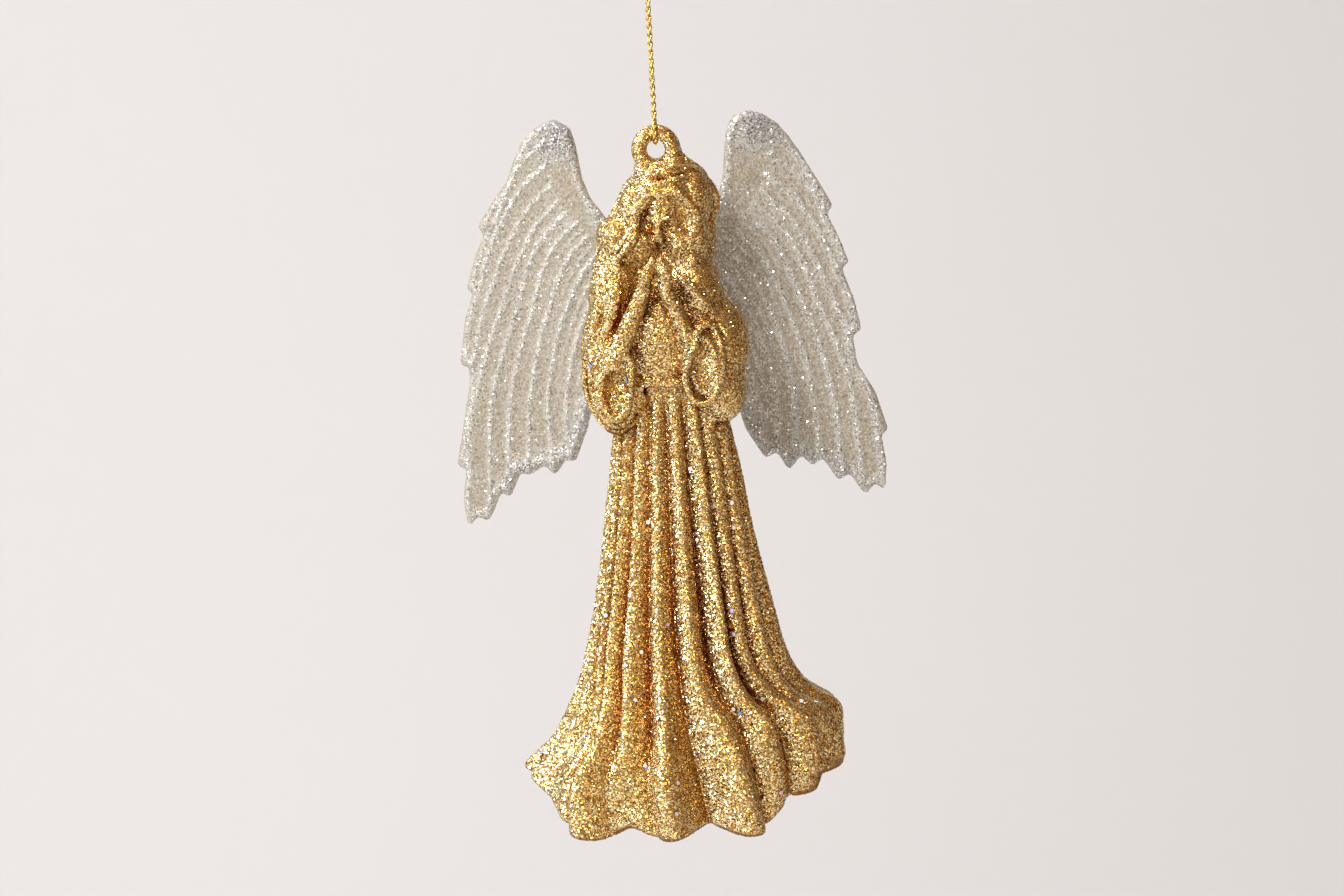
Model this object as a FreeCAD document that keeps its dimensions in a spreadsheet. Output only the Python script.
import FreeCAD, Part
import os
from math import cos, hypot, pi, radians, sin

# A hanging angel ornament: a hollow gown and head moulded as a front and a back
# shell, two clear wings whose tabs sit in slots in the back shell, and a thin
# twisted thread through the moulded eye.
# Frame: millimetres, +Z up, the figure faces -Y.  The origin is the inside of the
# hanging loop's top, where a hook or a twig carries the ornament.

os.makedirs("parts", exist_ok=True)
doc = FreeCAD.newDocument("angel_ornament")

DIMENSIONS = {
    "eye_drop": 53.5,            # from the origin down to the eye's centre
    "eye_ring": 2.9,             # the eye is a torus: radius of its centre circle
    "eye_section": 1.4,          # radius of the torus's round section
    "wall": 1.5,
    "thread_radius": 0.235,      # one ply
    "cord_radius": 0.475,        # two plies twisted together
    "thread_gap": 0.06,          # between the thread and the eye's inside
    "turning_gap": 0.05,         # between pieces that turn on each other
    "small_bend": 0.35,          # centreline radius where two plies come together
    "hanging_loop_radius": 3.0,
    "knot_radius": 1.25,
    "knot_length": 2.8,
    "knot_taper": 0.6,           # half the knot's ellipsoid as a share of its trimmed length
    "head_drop": 9.4,            # the face's centre below the eye
    "face_width": 5.2,
    "face_length": 6.0,
    "face_depth": 4.6,
    "arm_width": 4.6,
    "arm_length": 14.5,
    "arm_depth": 5.4,
    "elbow_radius": 4.3,
    "wrist_radius": 1.9,
    "hand_length": 4.8,
    "hand_width": 1.7,
    "wing_thickness": 1.8,
    "wing_stand_off": 7.4,       # the wing's front face behind the parting plane
    "tab_inner": 4.0,            # the tab's edge nearest the centre
    "tab_width": 4.0,
    "tab_top": 26.0,             # the tab's top below the eye
    "tab_length": 12.0,
    "tab_depth": 4.2,
    "tab_in_wing": 0.6,          # how far the tab reaches into the wing's thickness
    "slot_clearance": 0.1,
    "half_box": 90.0,            # the cutting boxes reach past every face
}

sheet = doc.addObject("Spreadsheet::Sheet", "sheet")
for row, (alias, value) in enumerate(DIMENSIONS.items(), start=1):
    sheet.set(f"A{row}", alias)
    sheet.set(f"B{row}", str(value))
    sheet.setAlias(f"B{row}", alias)
doc.recompute()


def size(alias):
    return float(sheet.get(alias))


# Places of the face, arms and hands: sideways, in front (minus) and above the eye.
# A pair's sideways distance is the half spread; the hands meet left of the middle.
FACE_CENTRE = (-0.6, -3.6)
SLEEVE = (9.8, -1.6, -34.0)
SLEEVE_TILT = 7.0                    # degrees
ELBOW = (9.6, -5.4, -42.0)
WRIST = (1.7, -9.4, -25.0)
WRIST_MIDDLE = -1.2
FINGERS = (0.6, -11.0, -19.0)
FINGERS_MIDDLE = -1.6

# The gown and head, from the crown down to below the hem: drop below the eye,
# half width, depth in front of the parting plane, depth behind it, pleat depth.
SECTIONS = [
    (3.2, 3.6, 2.8, 2.8, 0.0),       # crown, inside the foot of the eye
    (6.0, 6.4, 5.2, 5.0, 0.0),
    (9.5, 7.8, 6.2, 6.4, 0.0),
    (14.0, 9.2, 5.6, 6.8, 0.0),      # hair over the cheeks
    (19.0, 10.6, 5.2, 6.4, 0.0),
    (26.0, 12.2, 6.2, 6.4, 0.0),     # shoulders
    (36.0, 13.4, 7.0, 6.6, 0.0),
    (44.0, 12.0, 6.8, 6.4, 0.0),
    (50.0, 10.2, 6.4, 6.2, 0.2),     # waist
    (58.0, 11.2, 7.6, 6.8, 0.35),
    (70.0, 13.0, 9.8, 8.2, 0.5),
    (82.0, 15.6, 12.6, 10.2, 0.7),
    (92.0, 18.4, 15.4, 12.4, 0.9),
    (101.0, 22.8, 18.0, 14.6, 1.0),
    (108.0, 27.6, 19.6, 16.2, 1.1),
    (119.0, 36.0, 21.4, 18.0, 1.1),  # cut away along the hem
]
PLEATS = 20                          # round the whole gown
POINTS_PER_PLEAT = 8
INNER_PLEAT = 0.8                    # pleat depth inside as a share of that outside
CAVITY_FIRST = 2                     # the section that the cavity starts at
OPEN_BELOW = 2.0                     # how far the cavity runs on past the last section
CUT_BELOW = 10.0                     # how far the hem's cutter does

# The hem seen from the front: distance from the centre plane and drop below the
# eye at its lobes and notches, from the left corner to the right one.
HEM = [
    (-40.0, 99.0), (-27.6, 107.0), (-22.0, 113.5), (-17.0, 117.0), (-11.7, 115.4), (-4.0, 117.4),
    (4.0, 115.6), (10.5, 117.0), (16.5, 113.2), (22.0, 110.0), (27.6, 104.0), (40.0, 95.0),
]

# The right wing seen from the front, relative to the eye, up the leading edge.
WING_ROOT = (2.6, -26.0)
LEADING_EDGE = [WING_ROOT, (7.4, -16.5), (10.8, -9.0), (12.6, -2.0), (14.6, 4.2), (18.2, 5.6),
                (22.6, 3.0), (26.6, -3.6), (31.6, -12.4)]
FEATHER_TIPS = [(33.9, -23.2), (36.2, -35.6), (38.4, -53.4), (37.4, -64.4), (33.9, -64.0),
                (30.2, -60.6), (26.0, -57.2), (21.6, -57.2), (17.2, -54.6)]
TRAILING_EDGE = [(13.4, -48.0), (8.0, -43.0), (2.6, -41.0)]
NOTCH = 1.3                          # how far the outline steps in after each tip
FEATHER_BULGE = 0.5
WING_MIDDLE = (20.0, -30.0)
WING_SWEEP = 8.0                     # degrees that each wing turns back from the parting plane
LOOP_SPREAD = 45.0                   # half the angle between the plies over the eye
HANGING_SPREAD = 14.0                # half the angle between the hanging loop's legs

EYE = -size("eye_drop")


def add(kind, name, expressions=None, position=None, rotation=None):
    """A document object with bound sizes and a placement."""
    feature = doc.addObject(kind, name)
    for prop, formula in (expressions or {}).items():
        feature.setExpression(prop, formula)
    if position is not None:
        feature.Placement = FreeCAD.Placement(position, rotation or FreeCAD.Rotation())
    return feature


def hold(name, shape):
    """A document object for a shape that no parametric feature makes."""
    feature = doc.addObject("Part::Feature", name)
    feature.Shape = shape
    feature.Placement = FreeCAD.Placement()
    return feature


def boolean(kind, name, base, tool):
    """A cut or a common, left unrefined because joining the pleated faces spoils them."""
    feature = doc.addObject(kind, name)
    feature.Base = base
    feature.Tool = tool
    feature.Refine = False
    return feature


def cut(name, base, tool):
    return boolean("Part::Cut", name, base, tool)


def common(name, base, tool):
    return boolean("Part::Common", name, base, tool)


def fuse(name, pieces):
    feature = doc.addObject("Part::MultiFuse", name)
    feature.Shapes = pieces
    feature.Refine = False
    return feature


def mirrored(name, source):
    """The same piece on the other side of the centre plane."""
    feature = doc.addObject("Part::Mirroring", name)
    feature.Source = source
    feature.Normal = (1, 0, 0)
    return feature


def along(start, end):
    """Turns +Z to point from one place to another."""
    return FreeCAD.Rotation(FreeCAD.Vector(0, 0, 1), end - start)


# ---------------------------------------------------------------- gown and head

def section_wire(drop, half_width, front, back, pleat):
    """A closed level curve round the gown, pleated across its front and back."""
    count = PLEATS * POINTS_PER_PLEAT
    points = []
    for step in range(count):
        angle = pi / 2 + 2 * pi * step / count
        depth = front if sin(angle) < 0 else back
        y = sin(angle) * (depth + pleat * cos(PLEATS * angle))
        points.append(FreeCAD.Vector(half_width * cos(angle), y, EYE - drop))
    curve = Part.BSplineCurve()
    curve.interpolate(Points=points, PeriodicFlag=True)
    return Part.Wire(curve.toShape())


def inner_section(index):
    """The section one wall thickness inside the outer one, measured square to it."""
    drop, half_width, front, back, pleat = SECTIONS[index]
    above = SECTIONS[max(index - 1, 0)]
    below = SECTIONS[min(index + 1, len(SECTIONS) - 1)]
    slope = (below[1] - above[1]) / (below[0] - above[0])
    inset = size("wall") * hypot(1, slope)
    return drop, half_width - inset, front - inset, back - inset, pleat * INNER_PLEAT


def loft(name, sections):
    wires = []
    for number, section in enumerate(sections):
        wires.append(hold(f"{name}_section_{number}", section_wire(*section)))
    feature = doc.addObject("Part::Loft", name)
    feature.Sections = wires
    feature.Solid = True
    feature.Ruled = False
    return feature


def gown_body():
    return loft("gown", SECTIONS)


def gown_cavity():
    """The hollow, from just under the crown's wall down through the open hem."""
    sections = [inner_section(i) for i in range(CAVITY_FIRST, len(SECTIONS))]
    below_hem = list(sections[-1])
    below_hem[0] += OPEN_BELOW
    return loft("cavity", sections + [below_hem])


def hem_cutter():
    """Everything under the scalloped hem line, as one slab through the gown."""
    reach = size("half_box")
    line = [FreeCAD.Vector(x, -reach, EYE - drop) for x, drop in HEM]
    curve = Part.BSplineCurve()
    curve.interpolate(Points=line)
    floor = EYE - SECTIONS[-1][0] - CUT_BELOW
    left = FreeCAD.Vector(line[0].x, -reach, floor)
    right = FreeCAD.Vector(line[-1].x, -reach, floor)
    sides = [Part.makeLine(line[-1], right), Part.makeLine(right, left), Part.makeLine(left, line[0])]
    outline = hold("hem_outline", Part.Face(Part.Wire([curve.toShape()] + sides)))
    slab = doc.addObject("Part::Extrusion", "hem_cutter")
    slab.Base = outline
    slab.Dir = (0, 1, 0)
    slab.setExpression("LengthFwd", "2 * sheet.half_box")
    slab.Solid = True
    return slab


def face_form():
    return add("Part::Ellipsoid", "face_form",
               {"Radius1": "sheet.face_length", "Radius2": "sheet.face_width",
                "Radius3": "sheet.face_depth", "Placement.Base.z": "-sheet.eye_drop - sheet.head_drop"},
               FreeCAD.Vector(*FACE_CENTRE, 0))


def on_side(side, place, middle=0.0):
    """A point of the pair that lies on one side."""
    return FreeCAD.Vector(side * place[0] + middle, place[1], EYE + place[2])


def arm(side):
    """An upper arm in its sleeve, a forearm raised to the hands, and one hand."""
    name = "left" if side < 0 else "right"
    sleeve = add("Part::Ellipsoid", f"{name}_sleeve",
                 {"Radius1": "sheet.arm_length", "Radius2": "sheet.arm_width", "Radius3": "sheet.arm_depth"},
                 on_side(side, SLEEVE), FreeCAD.Rotation(FreeCAD.Vector(0, 1, 0), -side * SLEEVE_TILT))
    elbow = on_side(side, ELBOW)
    wrist = on_side(side, WRIST, WRIST_MIDDLE)
    forearm = add("Part::Cone", f"{name}_forearm",
                  {"Radius1": "sheet.elbow_radius", "Radius2": "sheet.wrist_radius"},
                  elbow, along(elbow, wrist))
    forearm.Height = (wrist - elbow).Length
    fingers = on_side(side, FINGERS, FINGERS_MIDDLE)
    hand = add("Part::Ellipsoid", f"{name}_hand",
               {"Radius1": "sheet.hand_length", "Radius2": "sheet.hand_width", "Radius3": "sheet.hand_width"},
               (wrist + fingers) / 2, along(wrist, fingers))
    return [sleeve, forearm, hand]


def eye_ring():
    return add("Part::Torus", "eye_ring",
               {"Radius1": "sheet.eye_ring", "Radius2": "sheet.eye_section",
                "Placement.Base.z": "-sheet.eye_drop"},
               FreeCAD.Vector(0, 0, 0), FreeCAD.Rotation(FreeCAD.Vector(1, 0, 0), 90))


def tab_box(name, clearance):
    """A wing's tab, or with clearance the slot that it sits in, on the right side."""
    reach = f" + 2 * {clearance}"
    return add("Part::Box", name,
               {"Length": "sheet.tab_width" + reach,
                "Width": "sheet.tab_depth" + reach,
                "Height": "sheet.tab_length" + reach,
                "Placement.Base.x": f"sheet.tab_inner - {clearance}",
                "Placement.Base.y": f"sheet.wing_stand_off + sheet.tab_in_wing - sheet.tab_depth - {clearance}",
                "Placement.Base.z": f"-sheet.eye_drop - sheet.tab_top - sheet.tab_length - {clearance}"},
               FreeCAD.Vector(0, 0, 0))


def half_space(name, is_front):
    """A box that holds one side of the parting plane."""
    base_y = "-2 * sheet.half_box" if is_front else "0"
    return add("Part::Box", name,
               {"Length": "2 * sheet.half_box", "Width": "2 * sheet.half_box", "Height": "3 * sheet.half_box",
                "Placement.Base.x": "-sheet.half_box", "Placement.Base.y": base_y,
                "Placement.Base.z": "-2 * sheet.half_box"},
               FreeCAD.Vector(0, 0, 0))


def figure_shells():
    trimmed = cut("gown_to_hem", gown_body(), hem_cutter())
    solid = fuse("figure_solid", [trimmed, face_form(), eye_ring()] + arm(-1) + arm(1))
    hollow = cut("figure_hollow", solid, gown_cavity())
    front = common("figure_front_shell", hollow, half_space("front_half", True))
    back = common("back_without_slots", hollow, half_space("back_half", False))
    slot = tab_box("right_slot", "sheet.slot_clearance")
    one_slot = cut("back_with_right_slot", back, slot)
    return [front, cut("figure_back_shell", one_slot, mirrored("left_slot", slot))]


# ------------------------------------------------------------------------ wings

def inward(tip, distance):
    """The point a given distance from a feather's tip towards the wing's middle."""
    dx = WING_MIDDLE[0] - tip[0]
    dz = WING_MIDDLE[1] - tip[1]
    share = distance / hypot(dx, dz)
    return tip[0] + dx * share, tip[1] + dz * share


def wing_point(place):
    return FreeCAD.Vector(place[0], 0, EYE + place[1])


def smooth_edge(places):
    curve = Part.BSplineCurve()
    curve.interpolate(Points=[wing_point(place) for place in places])
    return curve.toShape()


def wing_outline():
    """Smooth leading edge, stepped feather tips, smooth trailing edge."""
    edges = [smooth_edge(LEADING_EDGE)]
    last = LEADING_EDGE[-1]
    for tip in FEATHER_TIPS:
        notch = inward(last, NOTCH)
        middle = ((notch[0] + tip[0]) / 2, (notch[1] + tip[1]) / 2)
        edges.append(Part.makeLine(wing_point(last), wing_point(notch)))
        edges.append(Part.Arc(wing_point(notch), wing_point(inward(middle, -FEATHER_BULGE)),
                              wing_point(tip)).toShape())
        last = tip
    edges.append(smooth_edge([last] + TRAILING_EDGE))
    edges.append(Part.makeLine(wing_point(TRAILING_EDGE[-1]), wing_point(WING_ROOT)))
    return Part.Face(Part.Wire(edges))


def wings():
    outline = hold("wing_outline", wing_outline())
    turn = FreeCAD.Rotation(FreeCAD.Vector(0, 0, 1), WING_SWEEP)
    outline.Placement = FreeCAD.Placement(FreeCAD.Vector(0, size("wing_stand_off"), 0), turn)
    blade = doc.addObject("Part::Extrusion", "wing_blade")
    blade.Base = outline
    blade.Dir = turn.multVec(FreeCAD.Vector(0, 1, 0))
    blade.setExpression("LengthFwd", "sheet.wing_thickness")
    blade.Solid = True
    right = fuse("right_wing", [blade, tab_box("wing_tab", "0")])
    return [mirrored("left_wing", right), right]


# ----------------------------------------------------------------------- thread

def teardrop(centre, up, side, big, small, spread):
    """A closed loop of two arcs and the two straight legs that touch both.

    Returns the wire and the centre of the small arc at its point."""
    lean = radians(spread)
    point_centre = centre + up * ((big - small) / sin(lean))
    legs = [up * sin(lean) + side * (sign * cos(lean)) for sign in (-1, 1)]
    left_low = centre + legs[0] * big
    right_low = centre + legs[1] * big
    left_high = point_centre + legs[0] * small
    right_high = point_centre + legs[1] * small
    edges = [
        Part.Arc(left_low, centre - up * big, right_low).toShape(),
        Part.LineSegment(right_low, right_high).toShape(),
        Part.Arc(right_high, point_centre + up * small, left_high).toShape(),
        Part.LineSegment(left_high, left_low).toShape(),
    ]
    return Part.Wire(edges), point_centre


def thread_along(name, path):
    """One ply swept along a loop."""
    first = path.Edges[1]
    direction = first.tangentAt(first.FirstParameter)
    start = first.valueAt(first.FirstParameter)
    profile = add("Part::Circle", f"{name}_profile", {"Radius": "sheet.thread_radius"},
                  start, FreeCAD.Rotation(FreeCAD.Vector(0, 0, 1), direction))
    route = hold(f"{name}_route", Part.Wire(path.Edges[1:] + path.Edges[:1]))
    sweep = doc.addObject("Part::Sweep", name)
    sweep.Sections = [profile]
    sweep.Spine = (route, [f"Edge{n + 1}" for n in range(len(path.Edges))])
    sweep.Solid = True
    sweep.Frenet = False
    return sweep


def thread_pieces():
    up = FreeCAD.Vector(0, 0, 1)
    ply = size("thread_radius")
    bend = size("small_bend")
    over_eye = size("eye_section") + size("thread_gap") + ply
    eye_path, rock_axis = teardrop(FreeCAD.Vector(0, 0, EYE + size("eye_ring")), up,
                                   FreeCAD.Vector(0, 1, 0), over_eye, bend, LOOP_SPREAD)
    eye_loop = thread_along("cord_eye_loop", eye_path)

    top = FreeCAD.Vector(0, 0, ply - size("hanging_loop_radius"))
    hanging_path, loop_foot = teardrop(top, -up, FreeCAD.Vector(1, 0, 0),
                                       size("hanging_loop_radius"), bend, HANGING_SPREAD)
    hanging_loop = thread_along("hanging_loop", hanging_path)

    knot_top = loop_foot.z - bend - ply - size("turning_gap")
    knot_middle = knot_top - size("knot_length") / 2
    knot_form = add("Part::Ellipsoid", "knot_form",
                    {"Radius1": "sheet.knot_length * sheet.knot_taper", "Radius2": "sheet.knot_radius",
                     "Radius3": "sheet.knot_radius"}, FreeCAD.Vector(0, 0, knot_middle))
    knot_ends = add("Part::Cylinder", "knot_ends",
                    {"Radius": "2 * sheet.knot_radius", "Height": "sheet.knot_length"},
                    FreeCAD.Vector(0, 0, knot_top - size("knot_length")))
    knot = common("cord_knot", knot_form, knot_ends)

    cord_top = knot_top - size("knot_length") - size("turning_gap")
    cord_foot = rock_axis.z + bend + ply + size("turning_gap")
    cord = add("Part::Cylinder", "hanging_cord", {"Radius": "sheet.cord_radius"},
               FreeCAD.Vector(0, 0, cord_foot))
    cord.Height = cord_top - cord_foot
    print("eye centre z", EYE, "rock axis z", round(rock_axis.z, 4))
    print("cord from", round(cord_top, 4), "to", round(cord_foot, 4), "length", round(cord_top - cord_foot, 4))
    print("thread bend radii", round(over_eye, 3), bend, size("hanging_loop_radius"))
    for loop, path in ((eye_loop, eye_path), (hanging_loop, hanging_path)):
        doc.recompute()
        print(loop.Name, "volume", round(loop.Shape.Volume, 4),
              "section times length", round(pi * ply ** 2 * path.Length, 4))
    return [hanging_loop, knot, cord, eye_loop]


# ------------------------------------------------------------------ check, write

nodes = thread_pieces() + figure_shells() + wings()
doc.recompute()
for feature in doc.Objects:
    if "Invalid" in feature.State or "Error" in feature.State:
        raise RuntimeError(f"{feature.Name} failed: {feature.State}")
for node in nodes:
    node.Label = node.Name
    if node.Shape.isNull() or not node.Shape.isValid() or not node.Shape.Solids:
        raise RuntimeError(f"{node.Name} is not a valid solid")
for node in nodes:
    box = node.Shape.BoundBox
    print(node.Label, len(node.Shape.Solids), "solid,", round(node.Shape.Volume, 2), "mm3,",
          [round(v, 2) for v in (box.XMin, box.YMin, box.ZMin, box.XMax, box.YMax, box.ZMax)])
    node.Shape.exportStep(f"parts/{node.Label}.step")
